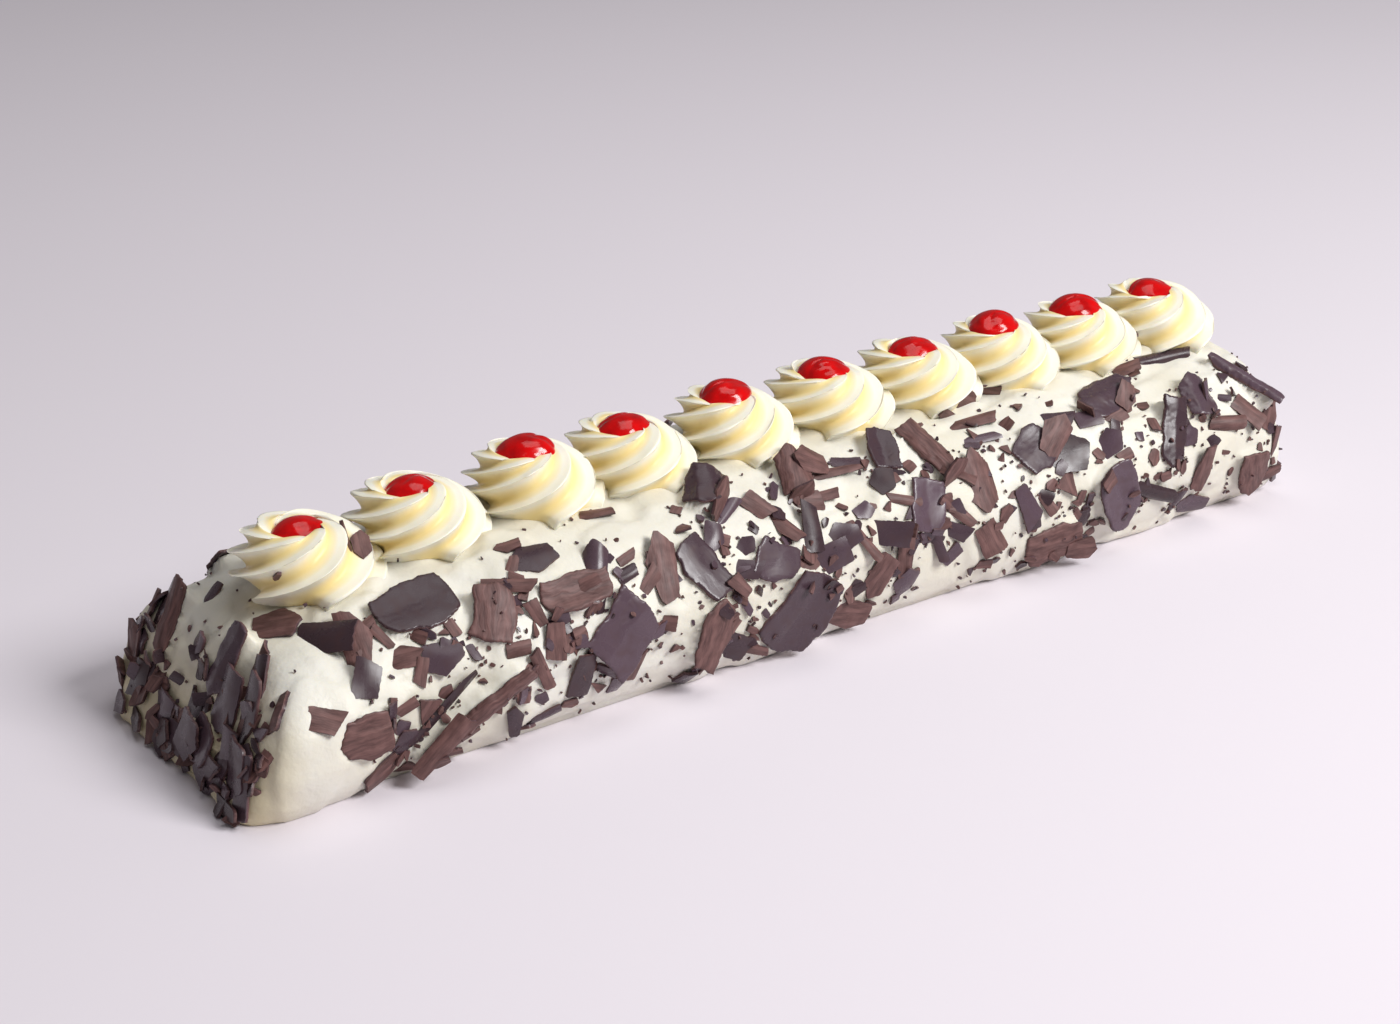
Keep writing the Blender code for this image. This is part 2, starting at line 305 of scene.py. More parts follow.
# %% The chocolate
chocolate = Recipe("shaved_chocolate")
grain = chocolate.noted("grain").outputs["Vector"]
torn = chocolate.noted("rough").outputs["Fac"]
tone = chocolate.noted("tone").outputs["Fac"]
lines = chocolate.noise(0.0011, 4.0, grain, (0.16, 1.0, 1.0))
blotches = chocolate.noise(0.004, 3.0, grain)
smooth_face = chocolate.mix(tone, colour(56, 40, 44), colour(90, 72, 82))
torn_face = chocolate.mix(chocolate.ramp(lines, 0.3, 0.7), colour(76, 50, 48), colour(120, 86, 82))
shaved = chocolate.mix(torn, smooth_face, torn_face)
chocolate.set(
    Base_Color=chocolate.mix(chocolate.ramp(blotches, 0.5, 0.75, 0.0, 0.4), shaved, colour(70, 44, 42)),
    Specular_IOR_Level=0.38,
    Roughness=chocolate.maths(
        "ADD",
        chocolate.ramp(blotches, 0.3, 0.7, 0.22, 0.36),
        chocolate.ramp(torn, 0, 1, 0, 0.25),
    ),
)
chocolate.bump(chocolate.maths("MULTIPLY", lines, chocolate.ramp(torn, 0, 1, 0.15, 1.0)), 0.00022)
print("made", chocolate.material.name)

# %% [markdown]
# ## The large shards
#
# The solid shards are flat facets with straight edges. Each is remeshed into small squares and moved by
# noise: sideways along the flake, which breaks up its outline, and a little in and out, which makes the
# faces uneven. The three main directions of a flake (length, width, thickness) come from the spread of
# its points.


# %% Main directions of a flake
ROLL_AXIS_HEIGHT = 24 * MM


def main_directions(points):
    """Rows: along the flake, across it, and out of it, away from the middle of the roll."""
    centre = points.mean(axis=0)
    spread = np.linalg.eigh(np.cov((points - centre).T))[1]
    along, across, out = spread[:, 2], spread[:, 1], spread[:, 0]
    away = centre - np.array([np.clip(centre[0], -0.18, 0.18), 0, ROLL_AXIS_HEIGHT])
    if out @ away < 0:
        out = -out
    return centre, np.array([along, across, out])


# %% Break a solid shard into a real one
# Shards whose torn, brown face is outside; the others show their smooth face.
TORN_SHARDS = {2, 3, 4, 5, 9, 12, 14, 21, 23, 25, 29, 33, 38}
EDGE_ROUGHNESS = 0.8  # a broken edge is nearly as rough as the torn face


def make_shard(number):
    node = f"chocolate_shard_{number:02d}"
    piece = copy_solid(node, f"broken_{node}")
    apply_modifier(piece, "REMESH", mode="VOXEL", voxel_size=0.55 * MM)
    apply_modifier(piece, "SMOOTH", factor=0.5, iterations=2)
    points = points_of(piece.data)
    normals = points_of(piece.data, "normal")
    centre, axes = main_directions(points)
    local = (points - centre) @ axes.T
    ragged = field_at(points, 6 * MM, number)[:, None] * axes[0] * 0.9 * MM
    ragged += field_at(points, 5 * MM, number + 40)[:, None] * axes[1] * 0.9 * MM
    ragged += field_at(points, 1.5 * MM, number + 80)[:, None] * axes[0] * 0.3 * MM
    ragged += field_at(points, 1.4 * MM, number + 120)[:, None] * axes[1] * 0.3 * MM
    warp = field_at(points, 11 * MM, number + 7)[:, None] * axes[2] * 0.5 * MM
    facing_out = normals @ axes[2]
    torn_out = number in TORN_SHARDS
    inner = np.where(facing_out < -0.35, float(not torn_out), EDGE_ROUGHNESS)
    rough = np.where(facing_out > 0.35, float(torn_out), inner)
    moved = points + ragged + warp
    moved[:, 2] = np.maximum(moved[:, 2], 0.1 * MM)
    move_points(piece.data, moved)
    note(piece.data, "grain", local, "FLOAT_VECTOR")
    note(piece.data, "rough", rough)
    note(piece.data, "tone", np.full(len(points), random.Random(number).random()))
    piece.data.materials.append(chocolate.material)
    make_smooth(piece, 60)
    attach(piece, "root")
    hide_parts(node)
    return piece


shards = [make_shard(number) for number in range(1, 40)]
print(len(shards), "large shards,", sum(len(s.data.polygons) for s in shards), "faces")


# %% [markdown]
# ## The cream coat
#
# The coat starts as a copy of the solid roll, remeshed into squares of about a millimetre. Smoothing takes
# away the facets. Then the points move in and out: slow waves from the spreading, low steps where one
# stroke of the spatula ends on the last, and mounds that fill the space under each shard.

# %% Remesh the roll
coat = copy_solid("roll", "cream_coat")
apply_modifier(coat, "REMESH", mode="VOXEL", voxel_size=1.15 * MM)
apply_modifier(coat, "SMOOTH", factor=0.5, iterations=40)
print("cream coat:", len(coat.data.vertices), "points")


# %% Spread the cream
def step(values, edge, width):
    """Rises from 0 to 1 as the value passes the edge, over the given width."""
    share = np.clip((values - edge) / width + 0.5, 0, 1)
    return share * share * (3 - 2 * share)


def spread(points):
    """How far the cream stands out at each point, in metres."""
    waves = field_at(points, 42 * MM) * 1.1 * MM + field_at(points, 15 * MM, 3) * 0.5 * MM
    strokes = field_at(points * [1.0, 1.0, 0.45], 20 * MM, 9) + field_at(points, 5 * MM, 5) * 0.12
    other = field_at(points * [0.45, 1.0, 1.0], 26 * MM, 17) + field_at(points, 4 * MM, 21) * 0.12
    steps = step(strokes, 0.08, 0.07) * 1.2 * MM + step(other, -0.1, 0.07) * 1.1 * MM
    streaks = field_at(points * [0.25, 1.0, 1.0], 4.5 * MM, 37) * 0.42 * MM
    fine = field_at(points, 2.8 * MM, 31) * 0.2 * MM
    return waves + steps + streaks + fine + fold(points) - 1.4 * MM


def fold(points):
    """A last stroke round the left front corner, which ends in a raised, wavy edge."""
    x, y, z = points.T
    edge = -0.180 - 0.30 * (z - 0.030) + field_at(points, 9 * MM, 51) * 2.5 * MM
    corner = step(-x, 0.165, 0.02) * step(-y, 0.030, 0.02) * step(-z, -0.050, 0.012)
    return step(edge - x, 0.0, 1.6 * MM) * corner * 1.9 * MM


points = points_of(coat.data)
normals = points_of(coat.data, "normal")
lift = spread(points)
print("cream moves from", round(lift.min() / MM, 2), "to", round(lift.max() / MM, 2), "mm")


# %% [markdown]
# A ray from each point of the cream, straight out, says whether a shard lies over it and how high. The
# cream is raised to meet the shard, and the rise is blended into its surroundings.


# %% Fill in under the shards
def tree_of(pieces):
    """A search tree over several meshes."""
    corners, faces = [], []
    for piece in pieces:
        start = len(corners)
        corners += [v.co.copy() for v in piece.data.vertices]
        faces += [[start + i for i in face.vertices] for face in piece.data.polygons]
    return BVHTree.FromPolygons(corners, faces)


def blend_over(mesh, values, rounds):
    """Averages a value with its neighbours', as often as asked."""
    edges = np.empty(len(mesh.edges) * 2, dtype=np.int64)
    mesh.edges.foreach_get("vertices", edges)
    first, second = edges.reshape(-1, 2).T
    counts = np.bincount(edges, minlength=len(values))
    for _ in range(rounds):
        sums = np.bincount(first, values[second], len(values))
        sums = sums + np.bincount(second, values[first], len(values))
        values = 0.5 * values + 0.5 * sums / counts
    return values


shard_tree = tree_of(shards)
under = np.zeros(len(points))
for index, (point, normal) in enumerate(zip(points, normals)):
    start = Vector(point) - Vector(normal) * 1.5 * MM
    hit = shard_tree.ray_cast(start, Vector(normal), 9 * MM)
    if hit[0] is not None:
        under[index] = min(hit[3] - 1.5 * MM - 0.1 * MM, 4.5 * MM)
covered = under != 0
blended = blend_over(coat.data, np.where(covered, under, lift), 5)
lift = np.where(covered, np.minimum(under, blended + 1.2 * MM), blended)
on_base = points[:, 2] < 0.5 * MM
lift[on_base] = 0
moved = points + normals * lift[:, None]
moved[:, 2] = np.maximum(moved[:, 2], 0)
move_points(coat.data, moved)
coat.data.materials.append(cream.material)
make_smooth(coat)
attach(coat, "root")
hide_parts("roll")
print(int(covered.sum()), "points lie under a shard")

# %% [markdown]
# ## The rosettes
#
# A rosette comes out of a star-shaped nozzle, which is turned as it rises. So it is modelled the same way:
# a circle is given the star's teeth, and its face is extruded, turned and resized again and again, from
# the base, over the rim, and down into the hollow for the cherry.

# %% The star nozzle
RIDGES = 6
# One tooth: share of the way to the next tooth, and share of the radius.
TOOTH = [
    (0.00, 1.0),
    (0.05, 0.975),
    (0.15, 0.92),
    (0.28, 0.865),
    (0.42, 0.82),
    (0.56, 0.785),
    (0.70, 0.765),
    (0.82, 0.77),
    (0.91, 0.82),
    (0.97, 0.92),
]
# Each level: share of the height, share of the radius, and share of the whole turn.
LEVELS = [
    (0.00, 0.94, 0.02),
    (0.10, 1.00, 0.10),
    (0.25, 1.01, 0.25),
    (0.41, 0.98, 0.41),
    (0.56, 0.92, 0.56),
    (0.70, 0.84, 0.70),
    (0.83, 0.74, 0.85),
    (0.93, 0.64, 1.00),
    (0.99, 0.54, 1.17),
    (0.98, 0.44, 1.35),
    (0.88, 0.34, 1.55),
    (0.76, 0.22, 1.75),
]
# Each rosette: place along the roll, radius, height, whole turn and first angle in degrees.
ROSETTES = [
    (-169, 24.5, 18.0, 140, 10),
    (-129, 23.5, 17.0, 150, 24),
    (-86, 23.5, 18.0, 145, 4),
    (-49, 23.5, 17.5, 155, 30),
    (-7, 23.5, 18.0, 145, 16),
    (34, 24.0, 17.0, 150, 38),
    (73, 24.5, 17.0, 145, 8),
    (112, 23.5, 18.5, 155, 27),
    (151, 24.0, 18.0, 150, 14),
    (189, 24.5, 19.0, 140, 35),
]
LEAN = -0.3  # how far a swirl leans along the roll for each millimetre it rises
SINK = 6 * MM  # how deep its foot lies in the cream
CROWN = 57 * MM  # height of the roll
BASE_SHARE = 0.86  # share of its radius at the foot


def star(radius, first, seed):
    """The nozzle's points, and how deep each lies in its groove, which sets the painted groove shade. The
    teeth are a little uneven.
    """
    rng = random.Random(seed)
    corners = [(ridge + rng.uniform(-0.13, 0.13)) / RIDGES for ridge in range(RIDGES)]
    corners.append(corners[0] + 1)
    outline, groove_shade_depths = [], []
    for ridge in range(RIDGES):
        depth = rng.uniform(1.0, 1.3)
        for share, reach in TOOTH:
            turn = corners[ridge] + share * (corners[ridge + 1] - corners[ridge])
            size = radius * (1 - (1 - reach) * depth)
            angle = math.radians(first) + 2 * math.pi * turn
            outline.append((size * math.cos(angle), size * math.sin(angle)))
            groove_shade_depths.append((1 - reach) / 0.235)
    return outline, groove_shade_depths


def sharpen_crests(rosette, ring):
    """Creases the edges that climb along each ridge, so that smoothing keeps them crisp."""
    crease = rosette.data.attributes.new("crease_edge", "FLOAT", "EDGE")
    for edge in rosette.data.edges:
        first, second = edge.vertices
        if abs(first - second) == ring and first % ring % len(TOOTH) == 0:
            crease.data[edge.index].value = 0.9


# %% Pipe one rosette
def pipe_rosette(number):
    along, radius, height, whole_turn, first = ROSETTES[number]
    low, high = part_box(f"rosette_{number + 1:02d}")
    base = high[2] - height * MM
    middle = along * MM
    start = (middle + LEAN * (base - SINK - CROWN), 0.0, base - SINK)
    bpy.ops.object.select_all(action="DESELECT")
    teeth = RIDGES * len(TOOTH)
    bpy.ops.mesh.primitive_circle_add(vertices=teeth, radius=radius * MM, fill_type="NGON", location=start)
    rosette = bpy.context.object
    rosette.name = f"piped_rosette_{number + 1:02d}"
    outline, groove_shade_depths = star(radius * MM * BASE_SHARE, first, number)
    move_points(rosette.data, np.array([(x, y, 0.0) for x, y in outline]))
    # The groove depth is stored for the painted shade in the grooves.
    note(rosette.data, "groove", groove_shade_depths)
    bpy.ops.object.mode_set(mode="EDIT")
    bpy.ops.mesh.select_all(action="SELECT")
    last_rise, last_share, last_turn = -SINK / (height * MM), BASE_SHARE, 0.0
    for rise, share, turn in LEVELS:
        up = (rise - last_rise) * height * MM
        bpy.ops.mesh.extrude_region_move(TRANSFORM_OT_translate={"value": (LEAN * up, 0, up)})
        z = base + rise * height * MM
        centre = (middle + LEAN * (z - CROWN), 0.0, z)
        scale = share / last_share
        bpy.ops.transform.resize(value=(scale, scale, 1), center_override=centre)
        angle = -math.radians(whole_turn) * (turn - last_turn)
        bpy.ops.transform.rotate(value=angle, orient_axis="Z", center_override=centre)
        last_rise, last_share, last_turn = rise, share, turn
    bpy.ops.mesh.select_all(action="SELECT")
    bpy.ops.mesh.normals_make_consistent(inside=False)
    bpy.ops.object.mode_set(mode="OBJECT")
    settle_in_place(rosette)
    sharpen_crests(rosette, teeth)
    apply_modifier(rosette, "SUBSURF", levels=2, render_levels=2)
    points = points_of(rosette.data)
    normals = points_of(rosette.data, "normal")
    wobble = field_at(points, 14 * MM, number * 5) * 0.7 * MM
    wobble = wobble + field_at(points, 5 * MM, number * 5 + 2) * 0.18 * MM
    move_points(rosette.data, points + normals * wobble[:, None])
    rosette.data.materials.append(butter.material)
    make_smooth(rosette)
    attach(rosette, "root")
    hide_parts(f"rosette_{number + 1:02d}")
    return rosette


rosettes = [pipe_rosette(number) for number in range(10)]
print(len(rosettes), "rosettes,", sum(len(r.data.polygons) for r in rosettes), "faces")


# %% [markdown]
# ## The cherries
#
# A glazed cherry has lost its stone, so it is a little flat, with a pointed end and a few soft creases.
# A sphere is resized to the solid cherry's size, its left end is drawn out, and creases are pressed in.


# %% Shape one cherry
def make_cherry(number):
    node = f"cherry_{number + 1:02d}"
    low, high = (np.array(corner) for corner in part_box(node))
    centre, half = (low + high) / 2, (high - low) / 2
    bpy.ops.object.select_all(action="DESELECT")
    bpy.ops.mesh.primitive_uv_sphere_add(segments=40, ring_count=24, radius=1.0, location=(0, 0, 0))
    cherry = bpy.context.object
    cherry.name = f"glazed_{node}"
    points = points_of(cherry.data)
    end = np.clip(-points[:, 0], 0, 1)
    points[:, 1] *= 1 - 0.28 * end**2
    points[:, 2] *= 1 - 0.22 * end**2
    crease = field_at(points * [0.35, 1.0, 1.0], 0.55, number * 3 + 1)
    points *= (1 - 0.06 * np.exp(-((crease / 0.12) ** 2)))[:, None]
    points *= (1 + 0.05 * field_at(points, 1.1, number))[:, None]
    turn = Matrix.Rotation(math.radians(14 * math.sin(number * 2.1)), 3, "Z")
    points = (points * half * 1.06) @ np.array(turn).T + centre + [0, 0, 1.3 * MM]
    move_points(cherry.data, points)
    apply_modifier(cherry, "SUBSURF", levels=1, render_levels=1)
    cherry.data.materials.append(glaze.material)
    make_smooth(cherry)
    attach(cherry, "root")
    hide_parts(node)
    return cherry


cherries = [make_cherry(number) for number in range(10)]
print(len(cherries), "cherries")

# %% [markdown]
# ## Smaller flakes
#
# Between the large shards lie dozens of smaller ones. Each starts as a grid, whose outline is made ragged,
# and is bent about its length and given a thickness. Then it is laid on the cream: a ray finds the
# place, and the flake is turned, tipped and pressed in.


# %% Make one flake flat, then curl it
def broken_outline(corners, rng):
    """The corners of a broken flake, as angle and share of its full size."""
    start = math.pi / corners if corners == 4 else rng.uniform(0, 6.3)
    outline = []
    for corner in range(corners):
        angle = start + 2 * math.pi * (corner + rng.uniform(-0.2, 0.2)) / corners
        full = max(abs(math.cos(angle)), abs(math.sin(angle))) ** -0.85
        outline.append((angle, full * rng.uniform(0.85, 1.12)))
    return outline


def reach_to_edge(angle, outline):
    """How far the straight edge between two corners lies in this direction."""
    for (a, reach_a), (b, reach_b) in zip(outline, outline[1:] + outline[:1]):
        width = (b - a) % (2 * math.pi)
        past = (angle - a) % (2 * math.pi)
        if past <= width:
            slope = reach_a * math.sin(past) + reach_b * math.sin(width - past)
            return reach_a * reach_b * math.sin(width) / slope
    return 1.0


def flake(length, width, curl, thickness, cells, corner_count, seed):
    """A curled flake about its own middle: corners, faces, flat place of each corner, and its side."""
    rng = random.Random(seed)
    outline = broken_outline(corner_count, rng)
    across = max(2, round(cells * width / length))
    reaches = {}
    flat = []
    for i in range(cells + 1):
        for j in range(across + 1):
            u, v = 2 * i / cells - 1, 2 * j / across - 1
            ring = max(abs(u), abs(v))
            angle = math.atan2(v, u)
            key = round(angle, 3)
            if key not in reaches:
                reaches[key] = reach_to_edge(angle, outline) * rng.uniform(0.97, 1.03)
            reach = ring * reaches[key] if ring > 0 else 0
            flat.append((reach * math.cos(angle) * length / 2, reach * math.sin(angle) * width / 2))
    flat = np.array(flat)
    bend = math.radians(curl) / width if abs(curl) > 1 else 0.01 / width
    corners, places, sides = [], [], []
    for side in (0.5, -0.5):
        radius = 1 / bend + side * thickness
        angle = flat[:, 1] * bend
        y = radius * np.sin(angle)
        z = radius * np.cos(angle) - 1 / bend
        z += 0.03 * width * np.sin(flat[:, 0] / length * 5 + seed) * np.cos(flat[:, 1] / width * 4 + seed)
        corners.append(np.column_stack([flat[:, 0], y, z]))
        places.append(np.column_stack([flat, np.full(len(flat), side * thickness)]))
        sides.append(np.full(len(flat), side))
    count = len(flat)
    row = across + 1
    faces = []
    for i in range(cells):
        for j in range(across):
            a = i * row + j
            quad = (a, a + row, a + row + 1, a + 1)
            faces.append(quad)
            faces.append(tuple(count + k for k in reversed(quad)))
    rim = [i * row for i in range(cells + 1)] + [cells * row + j for j in range(1, row)]
    rim += [i * row + across for i in reversed(range(cells))] + [j for j in reversed(range(1, across))]
    for a, b in zip(rim, rim[1:] + rim[:1]):
        faces.append((b, a, a + count, b + count))
    return np.vstack(corners), faces, np.vstack(places), np.concatenate(sides)


# %% Lay a flake on the cake
SIDES = {
    "front": (Vector((0, 1, 0)), Vector((1, 0, 0))),
    "back": (Vector((0, -1, 0)), Vector((-1, 0, 0))),
    "left": (Vector((1, 0, 0)), Vector((0, -1, 0))),
    "right": (Vector((-1, 0, 0)), Vector((0, 1, 0))),
}


def seat(tree, side, along, height):
    """The place where a flake is laid and its axes, or None where the ray meets nothing."""
    into, across = SIDES[side]
    start = Vector((along, 0, height)) if side in ("front", "back") else Vector((0, along, height))
    point, normal, _, _ = tree.ray_cast(start - into * 0.4, into)
    if point is None:
        print("nothing to lie on:", side, round(along / MM), round(height / MM))
        return None
    up = normal.cross(across).normalized()
    return point, Matrix((up.cross(normal), up, normal)).transposed()


class Heap:
    """Collects many flakes in one mesh."""

    def __init__(self):
        self.corners, self.faces, self.grain, self.rough, self.tone, self.count = [], [], [], [], [], 0

    def add(self, made, place, turn, torn_out, tone):
        corners, faces, places, sides = made
        laid = corners @ np.array(turn).T + np.array(place)
        laid[:, 2] += max(0.1 * MM - laid[:, 2].min(), 0)  # nothing sinks into the floor
        self.corners.append(laid)
        self.faces += [[self.count + i for i in face] for face in faces]
        self.grain.append(places)
        self.rough.append(np.where(sides > 0, float(torn_out), 1.0 - torn_out))
        self.tone.append(np.full(len(corners), tone))
        self.count += len(corners)

    def build(self, name):
        mesh = bpy.data.meshes.new(name)
        mesh.from_pydata(np.vstack(self.corners).tolist(), [], self.faces)
        mesh.update()
        piece = bpy.data.objects.new(name, mesh)
        bpy.context.collection.objects.link(piece)
        note(mesh, "grain", np.vstack(self.grain), "FLOAT_VECTOR")
        note(mesh, "rough", np.concatenate(self.rough))
        note(mesh, "tone", np.concatenate(self.tone))
        mesh.materials.append(chocolate.material)
        make_smooth(piece, 45)
        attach(piece, "root")
        return piece
